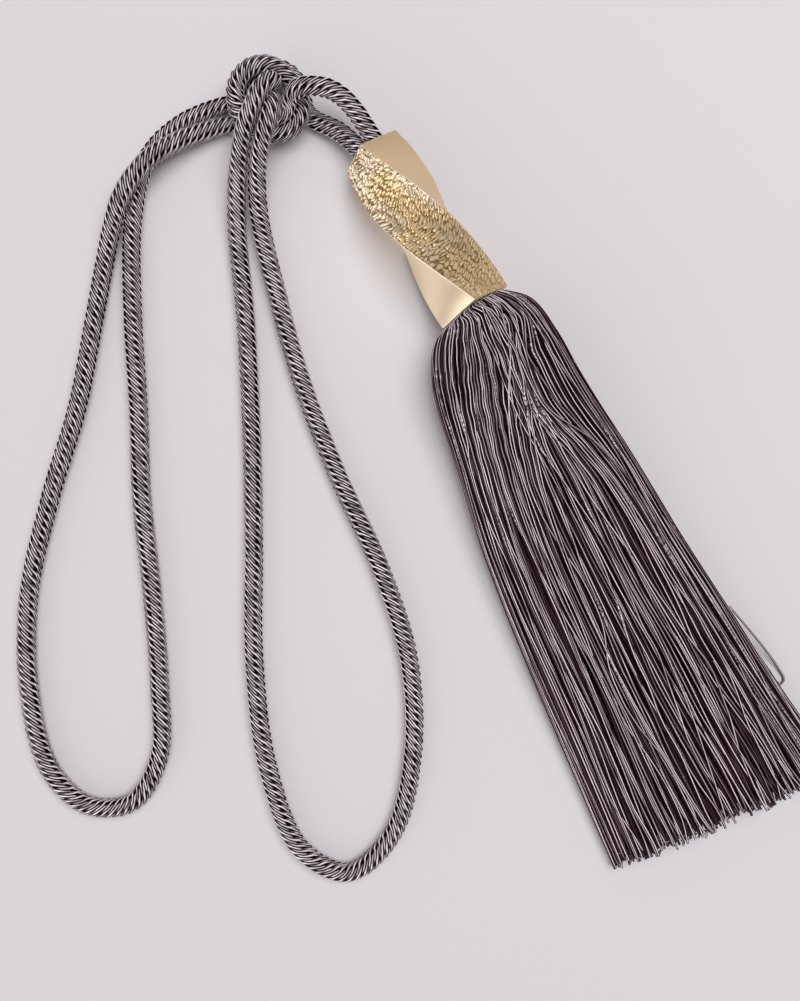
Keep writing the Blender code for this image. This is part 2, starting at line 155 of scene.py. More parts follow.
EDGE_FADE, END_FADE = 0.6, 1.2  # in how many mm the relief rises beside an edge's strip and from an end
WORN_SHARE, WORN_PLACES = 0.6, (0.8, 0.97)  # how much relief is worn away towards the mouth, and where
WORN_TONE = 0.4  # the height in the shade where no relief is left
HAMMER_LEAN, HAMMER_FAN = 0.45, 0.55  # how far the blows lean from straight across, and how much that varies
CELL_SHORT, CELL_LONG = 1.2, 3.9  # a hammered cell's size along the bar and across it
SOCKET_RADIUS = 4.45
SOCKET_OFFSET = (3.3, 3.2)
SOCKET_DEPTH = 8.5
MOUTH_RADIUS = 10.0
MOUTH_DEPTH = 9.0
HOLE_POINTS = 40

# ---- Skirt ----
# Sections from the neck to the cut end: left edge x, y; right edge x, y; underside z; widest z; top z;
# and how round the underside is.
SKIRT_SECTIONS = (
    (-63.4, 74.5, -39.2, 89.7, 2.9, 16.1, 29.3, 1.0),
    (-69.2, 67.3, -26.3, 85.9, 1.2, 15.0, 32.0, 0.7),
    (-70.6, 55.9, -15.6, 71.6, 0.0, 14.0, 36.0, 0.2),
    (-68.4, 41.2, -5.3, 53.7, 0.0, 13.0, 35.0, 0.0),
    (-60.1, 16.0, 12.4, 26.7, 0.0, 11.0, 30.0, 0.0),
    (-47.9, -22.5, 36.7, -11.8, 0.0, 8.0, 24.0, 0.0),
    (-29.6, -68.9, 60.2, -46.4, 0.0, 6.0, 19.0, 0.0),
    (-9.2, -116.6, 83.0, -81.1, 0.0, 5.0, 15.5, 0.0),
    (9.4, -159.6, 107.6, -116.4, 0.0, 4.5, 13.0, 0.0),
)
THREAD_RADIUS = 0.56
NECK_RADIUS = 8.5
NECK_INSIDE, NECK_OUTSIDE = 4.0, 0.3  # threads run straight from so far inside the mouth to so far outside
THREAD_ANGLES = (0, 75, 180, 285)  # of the points of a thread's section, from straight outwards
EDGE_ANGLE = math.radians(52)  # how far round the skirt's side its upper threads reach
THREAD_PITCH = 1.45  # between two threads side by side
SKIRT_HALF_WIDTH = 50.0
# Layers from the lowest: threads, how far they stray, how much they sweep, how high they lie (mm), how bright
# the painted highlights of the dullest and the brightest are, dim in the lowest layer as painted shade under
# the others, and how much of them is crimped.
THREAD_LAYERS = (
    (76, 0.03, 0.1, -1.5, (0.0, 0.12), 0.04),
    (62, 0.034, 0.95, -0.1, (0.25, 1.45), 0.14),
    (15, 0.08, 1.0, 0.55, (0.5, 1.4), 0.2),
)
LAYER_POINTS, STRAY_POINTS, LOOSE_POINTS, INSIDE_POINTS = 100, 80, 110, 36  # along one thread
CLOSEST_THREADS = 1.6  # from thread to thread: where they run closer, some dive under their neighbours
DIVE_DEPTH = 1.5
GOLDEN_STEP = 0.618034  # ranks neighbours far apart for the dive
FRAY_START, FRAY = 0.84, 0.03  # from where the cut end frays, and how far
CROWDING = 1.15  # above 1, a thread's points lie closer together towards the neck
# Where threads run at places down the skirt: the columns of those with these homes, one row for each place.
FLOW_HOMES = (-1.0, -0.75, -0.5, -0.25, 0.0, 0.25, 0.5, 0.75, 1.0)
FLOW_PLACES = (0.0, 0.12, 0.2, 0.28, 0.35, 0.42, 0.46, 0.5, 0.55, 0.62, 1.0)
FLOW_COLUMNS = (
    (-1.0, -0.62, -0.38, -0.16, 0.04, 0.16, 0.3, 0.62, 1.0),
    (-1.0, -0.45, -0.25, -0.02, 0.08, 0.14, 0.24, 0.56, 1.0),
    (-1.0, -0.5, -0.28, 0.0, 0.12, 0.18, 0.3, 0.62, 1.0),
    (-1.0, -0.55, -0.27, 0.05, 0.14, 0.2, 0.33, 0.65, 1.0),
    (-1.0, -0.6, -0.3, 0.02, 0.1, 0.18, 0.36, 0.67, 1.0),
    (-1.0, -0.66, -0.38, -0.06, 0.05, 0.16, 0.36, 0.68, 1.0),
    (-1.0, -0.69, -0.43, -0.13, 0.0, 0.17, 0.39, 0.7, 1.0),
    (-1.0, -0.72, -0.47, -0.19, -0.03, 0.21, 0.45, 0.73, 1.0),
    (-1.0, -0.74, -0.5, -0.24, -0.01, 0.24, 0.49, 0.75, 1.0),
    FLOW_HOMES,
    FLOW_HOMES,
)
# The upper threads of the right half hang back in this stretch, and then sweep out to their homes.
SWEEP_START, SWEEP_FULL, SWEEP_TURN, SWEEP_END = 0.16, 0.3, 0.4, 0.6
SWEEP_COLUMNS = 0.24  # how far they hang back
STRAY_THREADS = 9
SINGLE_THREAD = 0.85  # thickness of the stray and loose threads beside the others
# Single threads that stand out on the skirt, as (place, column) points.
LOOSE_THREADS = (
    ((0.0, 0.31), (0.09, 0.29), (0.21, 0.15), (0.275, 0.09), (0.335, 0.02), (0.4, -0.14), (0.475, -0.345),
     (0.6, -0.42), (1.0, -0.45)),
    ((0.0, 0.3), (0.15, 0.33), (0.28, 0.285), (0.395, 0.23), (0.425, 0.225), (0.458, 0.32), (0.475, 0.5),
     (0.495, 0.595), (0.512, 0.67), (0.6, 0.71), (1.0, 0.72)),
    ((0.0, 0.2), (0.15, 0.2), (0.275, 0.115), (0.37, -0.075), (0.42, -0.2), (0.475, -0.3), (0.52, -0.36),
     (1.0, -0.4)),
    ((0.0, 0.6), (0.15, 0.6), (0.28, 0.625), (0.405, 0.655), (0.443, 0.67), (0.475, 0.72), (0.51, 0.76),
     (1.0, 0.78)),
    ((0.0, 0.0), (0.2, 0.02), (0.4, 0.04), (0.465, 0.08), (0.492, 0.195), (0.512, 0.27), (0.573, 0.34),
     (1.0, 0.36)),
    ((0.0, -0.3), (0.15, -0.2), (0.3, -0.12), (0.45, -0.13), (0.52, -0.07), (0.6, 0.0), (0.8, 0.04),
     (1.0, 0.03)),
)
# One thread's loop beside the skirt's right edge: x, y, z and its radius as a share of the rope's.
EDGE_LOOP = (
    (58.0, -44.5, 9.5, 0.15), (64.4, -51.4, 7.5, 0.15), (74.0, -62.0, 4.2, 0.15), (82.4, -72.6, 1.2, 0.15),
    (85.0, -77.6, 0.7, 0.15), (83.4, -79.6, 0.7, 0.15), (80.6, -77.4, 1.6, 0.15), (77.5, -73.0, 3.4, 0.15),
)
EDGE_LOOP_STEP = 1.2
END_BITS = 90  # short snippets caught across the cut end
BIT_RADIUS, BIT_POINTS = 0.5, 6
# Rows of threads inside: their heights, from 1 at the top to -1 at the underside, and the threads in each.
INSIDE_ROWS = (*((height, 50) for height in (0.8, 0.55, 0.3, 0.1, -0.2, -0.5, -0.8)), (-1.0, 96))
FLANK_ROWS = np.linspace(0.0, -0.9, 6)  # the heights of the threads on both flanks
# covered threads keep little painted highlight: painted shade under the threads above
COVERED_EDGE, COVERED_GLINT = 0.93, 0.15  # how far across they are covered, and what glint is left there

# ---- Meshes ----
def added(name, data):
    """A new object in the scene that shows a mesh, a light or a camera."""
    obj = bpy.data.objects.new(name, data)
    bpy.context.scene.collection.objects.link(obj)
    return obj


def new_object(name, points, faces, smooth=True, uv=None, shade=None):
    """An object from points in mm and faces of point numbers. Shade is three values for each point."""
    mesh = bpy.data.meshes.new(name)
    mesh.from_pydata((np.asarray(points) * MM).tolist(), [], faces)
    if uv is not None:
        loops = np.empty(len(mesh.loops), np.int32)
        mesh.loops.foreach_get("vertex_index", loops)
        layer = mesh.uv_layers.new(name="UVMap")
        layer.data.foreach_set("uv", np.asarray(uv, np.float32)[loops].ravel())
    if shade is not None:
        layer = mesh.color_attributes.new("shade", "FLOAT_COLOR", "POINT")
        colours = np.concatenate([shade, np.ones((len(shade), 1))], axis=1)
        layer.data.foreach_set("color", colours.astype(np.float32).ravel())
    mesh.polygons.foreach_set("use_smooth", [smooth] * len(mesh.polygons))
    return added(name, mesh)


def normalised(vectors):
    return vectors / np.maximum(np.linalg.norm(vectors, axis=-1, keepdims=True), 1e-9)


def tangents_of(lines):
    tangents = np.empty_like(lines)
    tangents[:, 1:-1] = lines[:, 2:] - lines[:, :-2]
    tangents[:, 0] = lines[:, 1] - lines[:, 0]
    tangents[:, -1] = lines[:, -1] - lines[:, -2]
    return normalised(tangents)


def carried_sides(line, upward=0.0):
    """Two sides for each point of one line, carried along it without twist. The first starts at its top and
    turns back there by the part given in upward at each point."""
    tangents = tangents_of(line[None])[0]
    sides = np.empty_like(line)
    side = UP
    for i, tangent in enumerate(tangents):
        side = side + upward * UP
        side = side - tangent * (side @ tangent)
        side = side / np.linalg.norm(side)
        sides[i] = side
    return sides, np.cross(tangents, sides)


def tubes(lines, radii, outward, angles, marks):
    """Points, faces, UVs and shades of closed tubes along lines (line, point, xyz). Radii are (line, point).
    Outward is where angle 0 of each section points. Marks are two values for each line, or for each point of
    each line. A point's shade is how far it faces outwards, and its marks."""
    count, length, _ = lines.shape
    sides = len(angles)
    tangents = tangents_of(lines)
    a = normalised(outward - tangents * (outward * tangents).sum(-1, keepdims=True))
    b = np.cross(tangents, a)
    turn = np.radians(angles)
    ring = a[:, :, None] * np.cos(turn)[:, None] + b[:, :, None] * np.sin(turn)[:, None]
    points = lines[:, :, None] + ring * radii[:, :, None, None]
    number = np.arange(count * length * sides).reshape(count, length, sides)
    turned = np.roll(number, -1, axis=2)
    quads = np.stack([number[:, :-1], turned[:, :-1], turned[:, 1:], number[:, 1:]], -1).reshape(-1, 4)
    faces = quads.tolist() + number[:, 0, ::-1].tolist() + number[:, -1].tolist()
    steps = np.linalg.norm(np.diff(lines, axis=1), axis=2)
    along = np.concatenate([np.zeros((count, 1)), np.cumsum(steps, axis=1)], axis=1)
    shape = points.shape[:3]
    uv = np.stack([np.broadcast_to(turn / math.tau, shape), np.broadcast_to(along[:, :, None], shape)], -1)
    # how far each point faces outwards: the materials paint a highlight on the crest from it, and shade on the
    # flanks
    facing = np.broadcast_to(0.5 + 0.5 * np.cos(turn), shape)
    marks = np.asarray(marks, float)
    marks = marks[:, None, None] if marks.ndim == 2 else marks[:, :, None]
    marks = np.broadcast_to(marks, (*shape, 2))
    shade = np.concatenate([facing[..., None], marks], axis=-1)
    return points.reshape(-1, 3), faces, uv.reshape(-1, 2), shade.reshape(-1, 3)


def joined(parts):
    """Several (points, faces, uvs, shades) as one."""
    faces, offset = [], 0
    for part in parts:
        faces += [[i + offset for i in face] for face in part[1]]
        offset += len(part[0])
    points, uvs, shades = (np.concatenate([part[k] for part in parts]) for k in (0, 2, 3))
    return points, faces, uvs, shades


def grid_noise(x, y, seed):
    """Smooth noise from -1 to 1 on a lattice of unit cells, at x and y, which numpy broadcasts together."""
    table = np.random.RandomState(seed).uniform(-1, 1, (64, 64))
    xi, yi = np.floor(x).astype(int), np.floor(y).astype(int)
    xf, yf = x - xi, y - yi
    xs, ys = (f * f * f * (f * (f * 6 - 15) + 10) for f in (xf, yf))
    a, b = table[xi % 64, yi % 64], table[(xi + 1) % 64, yi % 64]
    c, d = table[xi % 64, (yi + 1) % 64], table[(xi + 1) % 64, (yi + 1) % 64]
    return (a * (1 - xs) + b * xs) * (1 - ys) + (c * (1 - xs) + d * xs) * ys


def smooth_step(values, start, end):
    part = np.clip((values - start) / (end - start), 0, 1)
    return part * part * (3 - 2 * part)


# ---- Cords ----
def mixed(first, second, start, end, at):
    """The value at a place on the straight line from first, at start, to second, at end."""
    return (end - at) / (end - start) * first + (at - start) / (end - start) * second


def smooth_route(route):
    """The smooth curve (a centripetal Catmull-Rom spline) through a route, as rows of x, y, z and share."""
    rows = np.array([(*point, *(ROPE_DIAMETER / 2, 1.0)[len(point) - 2 :]) for point in route])
    rows = np.vstack([2 * rows[0] - rows[1], rows, 2 * rows[-1] - rows[-2]])
    fine = []
    for near in zip(rows, rows[1:], rows[2:], rows[3:]):
        steps = [np.linalg.norm(q[:3] - p[:3]) for p, q in zip(near, near[1:])]
        knots = np.cumsum([0.0] + [math.sqrt(step) for step in steps])
        for at in np.linspace(knots[1], knots[2], math.ceil(steps[1] / ROPE_FINE_STEP), endpoint=False):
            lines = [mixed(near[i], near[i + 1], knots[i], knots[i + 1], at) for i in range(3)]
            bends = [mixed(lines[i], lines[i + 1], knots[i], knots[i + 2], at) for i in range(2)]
            fine.append(mixed(*bends, knots[1], knots[2], at))
    fine = np.array(fine + [rows[-2]])
    fine[:, 2] = np.maximum(fine[:, 2], ROPE_DIAMETER / 2 * fine[:, 3])
    return fine


def resampled(line, step):
    """A line of rows read again at even steps along its length."""
    along = np.concatenate([[0.0], np.cumsum(np.linalg.norm(np.diff(line[:, :3], axis=0), axis=1))])
    count = max(2, round(along[-1] / step) + 1)
    at = np.linspace(0.0, along[-1], count)
    return np.stack([np.interp(at, along, column) for column in line.T], axis=1), at


def make_rope(name, route, material):
    """One rope, as strands laid round a dark core that shows as painted shade between them: the object, its
    centreline and its length.
    """
    line, along = resampled(smooth_route(route), STRAND_LEAD / STRAND_STEPS_PER_TURN)
    centre = line[:, :3]
    squeeze = 1 - (1 - line[:, 3]) * SQUEEZE_SHOWN
    side, other = carried_sides(centre, SEAM_UPWARD)
    turn = -math.tau * along / STRAND_LEAD
    seam = SEAM_SWAY * np.sin(along / SEAM_SWAY_MM)
    lines, radii, outward, marks = [], [], [], []
    for strand in range(STRANDS):
        angle = turn + math.tau * strand / STRANDS
        # above 0 where the strand rises over the next one, below 0 where it dips under it
        rise = (-1) ** strand * sum(
            sign * np.exp(-((np.angle(np.exp(1j * (angle - seam - shift))) / SEAM_WIDTH) ** 2))
            for shift, sign in SEAM_PLACES
        )
        angle = angle + SEAM_SHIFT * rise
        away = side * np.cos(angle)[:, None] + other * np.sin(angle)[:, None]
        lines.append(centre + away * ((STRAND_RING_RADIUS + SEAM_RISE * rise) * squeeze)[:, None])
        radii.append(STRAND_RADIUS * (1 + SEAM_THICKENING * np.maximum(rise, 0)) * squeeze)
        outward.append(away)
        # the strand's painted highlight, brighter where it rises over the next strand, painted shade where it
        # dips under
        glint = STRAND_GLINT + GLINT_NOISE * grid_noise(along / GLINT_NOISE_MM, strand * 1.7, 61)
        glint = glint + np.where(rise > 0, SEAM_GLINT, SEAM_SHADE) * rise
        marks.append(np.stack([np.clip(glint, 0, 1), 0 * glint], axis=-1))
    strands = tubes(np.array(lines), np.array(radii), np.array(outward), STRAND_ANGLES, marks)
    core_line, _ = resampled(line, CORE_STEP)
    core_side, _ = carried_sides(core_line[:, :3])
    core_line = core_line[None]
    core = tubes(core_line[..., :3], CORE_RADIUS * core_line[..., 3], core_side[None], CORE_ANGLES, [(0, 0)])
    core[3][:, 0] = 0.0  # it has no painted highlight, and its dark shows as painted shade between the strands
    points, faces, uv, shade = joined([strands, core])
    points[:, 2] = np.maximum(points[:, 2], 0.0)
    rope = new_object(name, points, faces, uv=uv, shade=shade)
    rope.data.materials.append(material)
    return rope, centre, along[-1]


# ---- Materials ----
class Nodes:
    """The node tree of a material or of the world, with short calls for its nodes and links."""

    def __init__(self, owner, shader="Principled BSDF"):
        owner.use_nodes = True
        self.tree = owner.node_tree
        self.shader = self.tree.nodes[shader]

    def add(self, kind, **values):
        node = self.tree.nodes.new(kind)
        for key, value in values.items():
            if hasattr(node, key):
                setattr(node, key, value)
            else:
                node.inputs[key.replace("_", " ")].default_value = value
        return node

    def link(self, start, output, end, socket):
        self.tree.links.new(start.outputs[output], end.inputs[socket])

    def set(self, **values):
        for key, value in values.items():
            self.shader.inputs[key.replace("_", " ")].default_value = value


def thread_material(name, dark, light, crest, speckle, metallic, roughness):
    """Lustrous twisted thread, with painted light: the light colour is a painted highlight along its crest,
    and the dark colour, its own, also paints the shade where it lies against its neighbours. The shade's green
    is how bright the painted highlight is, and its blue how crimped the thread is."""
    material = bpy.data.materials.new(name)
    nodes = Nodes(material)
    nodes.set(Metallic=metallic, Roughness=roughness, Specular_IOR_Level=0.08)
    shade = nodes.add("ShaderNodeAttribute", attribute_name="shade")
    parts = nodes.add("ShaderNodeSeparateColor")
    nodes.link(shade, "Color", parts, "Color")
    smooth = {"interpolation_type": "SMOOTHSTEP"}
    # the painted highlight: bright only where the thread faces straight out, along its crest
    line = nodes.add("ShaderNodeMapRange", **smooth, From_Min=crest[0], From_Max=crest[1])
    nodes.link(parts, "Red", line, "Value")
    # the twist's own grain, finer than the thread, which places the painted glints of crimped stretches
    place = nodes.add("ShaderNodeUVMap", uv_map="UVMap")
    grain = nodes.add("ShaderNodeTexNoise", noise_dimensions="2D", Scale=1.0, Detail=1.0)
    stretch = nodes.add("ShaderNodeMapping", Scale=(5.0, speckle, 1.0))
    nodes.link(place, "UV", stretch, "Vector")
    nodes.link(stretch, "Vector", grain, "Vector")
    spots = nodes.add("ShaderNodeMapRange", **smooth, From_Min=0.44, From_Max=0.58)
    nodes.link(grain, "Fac", spots, "Value")
    # line + crimp * (spots - line): a crimped stretch shows painted glints in spots in place of the painted
    # highlight
    crimped = nodes.add("ShaderNodeMix", data_type="FLOAT")
    nodes.link(parts, "Blue", crimped, "Factor")
    nodes.link(line, "Result", crimped, "A")
    nodes.link(spots, "Result", crimped, "B")
    bright = nodes.add("ShaderNodeMath", operation="MULTIPLY")
    nodes.link(crimped, "Result", bright, 0)
    nodes.link(parts, "Green", bright, 1)
    # mixes the dark colour, the thread's own that also paints its shade, with the light one, the painted
    # highlight
    mix = nodes.add("ShaderNodeMix", data_type="RGBA", A=(*dark, 1.0), B=(*light, 1.0))
    nodes.link(bright, "Value", mix, "Factor")
    nodes.link(mix, "Result", nodes.shader, "Base Color")
    return material


def gold_material(name, shaded_colour, colour, highlight_colour, roughness):
    """Gold with painted light: painted shade darkens its hollows and the darker smooth side, and a painted
    highlight lies along its edges and on pale crests. The shade's red is how high it stands, and on a smooth
    side sets its painted shade; its green is how much painted highlight it gets."""
    material = bpy.data.materials.new(name)
    nodes = Nodes(material)
    nodes.set(Metallic=0.85, Roughness=roughness)
    shade = nodes.add("ShaderNodeAttribute", attribute_name="shade")
    parts = nodes.add("ShaderNodeSeparateColor")
    nodes.link(shade, "Color", parts, "Color")
    rise = nodes.add("ShaderNodeMapRange", From_Min=GOLD_TONES[0], From_Max=GOLD_TONES[1])
    nodes.link(parts, "Red", rise, "Value")
    # painted shade: the hollows and the darker smooth side take the shaded colour
    body = nodes.add("ShaderNodeMix", data_type="RGBA", A=(*shaded_colour, 1.0), B=(*colour, 1.0))
    nodes.link(rise, "Result", body, "Factor")
    # painted highlight along the edges and on pale crests
    highlighted = nodes.add("ShaderNodeMix", data_type="RGBA", B=(*highlight_colour, 1.0))
    nodes.link(parts, "Green", highlighted, "Factor")
    nodes.link(body, "Result", highlighted, "A")
    nodes.link(highlighted, "Result", nodes.shader, "Base Color")
    return material


# ---- Gold head ----
def head_axes():
    along = normalised(HEAD_BOTTOM - HEAD_TOP)
    across = normalised(np.array((-along[1], along[0], 0.0)))
    return along, across, np.cross(across, -along)


def head_girth(place):
    places, sizes = zip(*HEAD_GIRTH)
    part = np.interp(place, places, np.arange(len(places)))
    index = np.minimum(part.astype(int), len(places) - 2)
    part = part - index
    sizes = np.array(sizes)
    return sizes[index] + (sizes[index + 1] - sizes[index]) * (part + smooth_step(part, 0, 1)) / 2


def cells(x, y, seed):
    """How far into its cell each point lies, from 0 on the border: scattered cells about one unit across."""
    jitter = np.random.RandomState(seed).uniform(0.08, 0.92, (64, 64, 2))
    xi, yi = np.floor(x).astype(int), np.floor(y).astype(int)
    nearest = np.full(x.shape, 9.0)
    second = np.full(x.shape, 9.0)
    for i in (-1, 0, 1):
        for j in (-1, 0, 1):
            spot = jitter[(xi + i) % 64, (yi + j) % 64]
            away = np.hypot(xi + i + spot[..., 0] - x, yi + j + spot[..., 1] - y)
            second = np.minimum(second, np.maximum(nearest, away))
            nearest = np.minimum(nearest, away)
    return second - nearest


def hammer_marks(length_mm, width_mm, seed):
    """Height from 0 to 1 of the hammered pattern: raised cells longer across the bar than along it, leaning
    and fanning where the blows turned and larger at the bar's top, with short creases between them."""
    lean = HAMMER_LEAN + HAMMER_FAN * grid_noise(length_mm / 17, width_mm / 15, seed)
    u = length_mm + 5 * np.exp(-length_mm / 12) - lean * (width_mm - HEAD_SIDE / 2)
    v = width_mm * np.sqrt(1 + lean**2)
    u = u + 0.45 * grid_noise(length_mm / 2.4, width_mm / 2.4, seed + 1)
    v = v + 0.7 * grid_noise(length_mm / 3.3, width_mm / 3.3, seed + 2)
    coarse = smooth_step(cells(u / CELL_SHORT, v / CELL_LONG, seed + 3), 0.0, 0.4)
    fine = smooth_step(cells(u / CELL_SHORT * 1.7 + 7, v / CELL_LONG * 1.4, seed + 4), 0.0, 0.5)
    height = 0.7 * coarse + 0.3 * fine
    return height * (0.88 + 0.3 * grid_noise(length_mm / 7, width_mm / 6, seed + 6))


def relief(side, part, from_edge, place, long_mm):
    """One column of points on a hammered side, part of the way across it: how far out each stands, in mm, and
    the height in its shade, and the painted highlight of its pale crests beside that of the edges."""
    height = hammer_marks(place * long_mm, part * HEAD_SIDE, 40 + side)
    from_end = np.minimum(place, 1 - place) * long_mm
    fade = np.clip((from_edge - EDGE_STRIP) / EDGE_FADE, 0, 1) * np.clip(from_end / END_FADE, 0, 1)
    fade = fade * (1 - WORN_SHARE * smooth_step(place, *WORN_PLACES))
    stands = (height - RIDGE_MIDDLE) * RIDGE_HEIGHT * fade
    height = WORN_TONE + (height - WORN_TONE) * fade
    # pale patches, where the crests get a whitish painted highlight
    patches = grid_noise(place * long_mm / 9, part * HEAD_SIDE / 8, 70 + side)
    pale = smooth_step(abs(part - 0.5) * 1.6 + 0.7 * patches - 0.9 * place, -0.3, 0.9)
    return stands, height, 0.8 * pale * np.clip(height, 0, 1)


def head_skin(place, middle, across, up):
    """The bar's points (ring, column), the shade of each, and whether each column lies on a hammered side."""
    long_mm = np.linalg.norm(HEAD_BOTTOM - HEAD_TOP)
    shrink = np.ones(len(place))
    shrink[[0, -1]] = 1 - END_ROUNDING / HEAD_END_RADIUS
    shrink[[1, -2]] = 1 - 0.3 * END_ROUNDING / HEAD_END_RADIUS
    girth = head_girth(place) * shrink
    strip = EDGE_STRIP / HEAD_SIDE
    hammered_parts = np.linspace(strip, 1 - strip, HAMMERED_POINTS)
    smooth_parts = [strip, 2 * strip, *np.linspace(0.06, 0.94, SMOOTH_POINTS), 1 - 2 * strip, 1 - strip]
    columns, shades, hammered = [], [], []
    for side in range(4):
        is_hammered = side % 2 == 1
        turns = (HEAD_FIRST_CORNER + HEAD_TWIST * place + math.pi / 2 * (side + j) for j in (0, 1))
        corner, next_corner = (
            middle + girth[:, None] * (np.cos(t)[:, None] * across + np.sin(t)[:, None] * up) for t in turns
        )
        out = normalised((corner + next_corner) / 2 - middle)
        # the first smooth side gets painted shade, darker than the second
        painted_side_shade = np.full(len(place), SMOOTH_SIDE_PAINTED_SHADE[side // 2])
        # the edge itself gets the full painted highlight
        columns.append(middle + (corner - middle) * (1 - EDGE_PULL))
        shades.append(np.stack([painted_side_shade, 1 + 0 * painted_side_shade, 0 * painted_side_shade], axis=-1))
        for part in hammered_parts if is_hammered else smooth_parts:
            point = corner + (next_corner - corner) * part
            from_edge = min(part, 1 - part) * HEAD_SIDE
            height, painted_highlight = painted_side_shade, 0 * painted_side_shade
            if is_hammered:
                stands, height, painted_highlight = relief(side, part, from_edge, place, long_mm)
                point = point + out * stands[:, None]
            # painted highlight along the edges
            painted_highlight = np.maximum(painted_highlight, 1 - smooth_step(from_edge, *EDGE_PAINTED_HIGHLIGHT))
            columns.append(point)
            shades.append(np.stack([height, painted_highlight, 0 * painted_highlight], axis=-1))
        hammered += [is_hammered] * (len(columns) - len(hammered))
    points = np.stack(columns, axis=1)
    points[:, :, 2] = np.maximum(points[:, :, 2], 0.0)
    return points, np.stack(shades, axis=1), hammered


def close_end(shape, rim, holes, inward, across, up):
    """Closes one end of the bar: flat between its rim and the holes (centre, radius, depth) in it."""
    edges = [shape.edges.get((a, b)) for a, b in zip(rim, rim[1:] + rim[:1])]
    turns = np.arange(HOLE_POINTS) * math.tau / HOLE_POINTS
    for centre, radius, depth in holes:
        loop = centre + radius * (np.cos(turns)[:, None] * across + np.sin(turns)[:, None] * up)
        mouth = [shape.verts.new(point) for point in loop]
        bottom = [shape.verts.new(point + inward * depth) for point in loop]
        for i in range(HOLE_POINTS):
            j = (i + 1) % HOLE_POINTS
            shape.faces.new((mouth[i], bottom[i], bottom[j], mouth[j]))
            edges.append(shape.edges.get((mouth[i], mouth[j])))
        shape.faces.new(bottom)
    bmesh.ops.triangle_fill(shape, use_beauty=True, edges=edges)


def make_head(smooth_look, hammered_look):
    """The twisted bar as a fine skin: two sides smooth, two hammered, with the holes at its ends."""
    along, across, up = head_axes()
    end_share = END_ROUNDING / np.linalg.norm(HEAD_BOTTOM - HEAD_TOP)
    place = np.concatenate([[0.0, 0.002], np.linspace(end_share, 1 - end_share, HEAD_RINGS), [0.998, 1.0]])
    middle = HEAD_TOP + place[:, None] * (HEAD_BOTTOM - HEAD_TOP)
    points, shades, hammered = head_skin(place, middle, across, up)
    rings, width, _ = points.shape
    number = np.arange(rings * width).reshape(rings, width)
    turned = np.roll(number, -1, axis=1)
    quads = np.stack([number[:-1], number[1:], turned[1:], turned[:-1]], -1).reshape(-1, 4)
    shape = bmesh.new()
    verts = [shape.verts.new(point) for point in points.reshape(-1, 3)]
    for quad, mark in zip(quads, hammered * (rings - 1)):
        face = shape.faces.new([verts[i] for i in quad])
        face.material_index = int(mark)
        face.smooth = True
    aside = SOCKET_OFFSET[0] * across + SOCKET_OFFSET[1] * up
    sockets = [(middle[0] + way * aside, SOCKET_RADIUS, SOCKET_DEPTH) for way in (1, -1)]
    mouth = [(middle[-1], MOUTH_RADIUS, MOUTH_DEPTH)]
    close_end(shape, [verts[i] for i in number[0]], sockets, along, across, up)
    close_end(shape, [verts[i] for i in number[-1]], mouth, -along, across, up)
    bmesh.ops.recalc_face_normals(shape, faces=shape.faces)
    bmesh.ops.scale(shape, vec=(MM, MM, MM), verts=shape.verts)
    mesh = bpy.data.meshes.new("gold_head")
    shape.to_mesh(mesh)
    shape.free()
    colours = np.ones((len(mesh.vertices), 4), np.float32)
    colours[: rings * width, :3] = shades.reshape(-1, 3)
    mesh.color_attributes.new("shade", "FLOAT_COLOR", "POINT").data.foreach_set("color", colours.ravel())
    mesh.materials.append(smooth_look)
    mesh.materials.append(hammered_look)
    return added("gold_head", mesh)


# ---- Skirt ----
def skirt_sections(place):
    """The skirt's section table read on a smooth curve at places from 0 to 1 (any shape of array)."""
    table = np.array(SKIRT_SECTIONS)
    last = len(table) - 1
    at = np.clip(place, 0, 1) * last
    index = np.minimum(at.astype(int), last - 1)
    part = (at - index)[..., None]
    rows = [table[np.clip(index + step, 0, last)] for step in (-1, 0, 1, 2)]
    weights = (
        -0.5 * part + part**2 - 0.5 * part**3,
        1.0 - 2.5 * part**2 + 1.5 * part**3,
        0.5 * part + 2.0 * part**2 - 1.5 * part**3,
        -0.5 * part**2 + 0.5 * part**3,
    )
    return sum(w * row for w, row in zip(weights, rows))


def skirt_points(place, column, height, lift, inset):
    """Points of the skirt and the way out of it there. Place is 0 at the neck to 1 at the cut end, column -1
    to 1 across it, height 1 on its upper surface to -1 on its underside, lift how far out of the surface and
    inset how far in from its edges, in mm. Height and lift may be one number for all."""
    section = skirt_sections(place)
    left, right = section[..., 0:2], section[..., 2:4]
    low, middle, high = (section[..., k] for k in (4, 5, 6))
    half = np.where(height > 0, high - inset - middle, middle - np.maximum(low, 0.0) - inset)
    width = np.linalg.norm(right - left, axis=-1) - 2 * inset
    sideways = normalised(right - left)
    rounding = np.where(height > 0, 1.0, np.clip(section[..., 7], 0, 1))
    tall = height * np.sqrt(np.clip(1 - rounding * column**2, 0, 1))
    flat = (left + right) / 2 + sideways * (column * width / 2)[..., None]
    points = np.concatenate([flat, (middle + tall * half)[..., None]], axis=-1)
    upright = tall / half * (1 - (1 - rounding) * column**8)  # the flat flanks face straight out
    out = np.concatenate([sideways * (column / width * 2)[..., None], upright[..., None]], axis=-1)
    out = normalised(out + 1e-6 * UP)
    return points + out * np.expand_dims(lift, -1), out


def spread(count, rng, jitter):
    """Even places from -1 to 1, each moved a little."""
    places = (np.arange(count) + 0.5) / count * 2 - 1
    return np.clip(places + rng.uniform(-jitter, jitter, count) / count, -1, 1)


def over_the_top(places):
    """Columns for even places over the skirt's round upper surface: closer together towards its edges."""
    return np.sin(places * EDGE_ANGLE) / math.sin(EDGE_ANGLE)


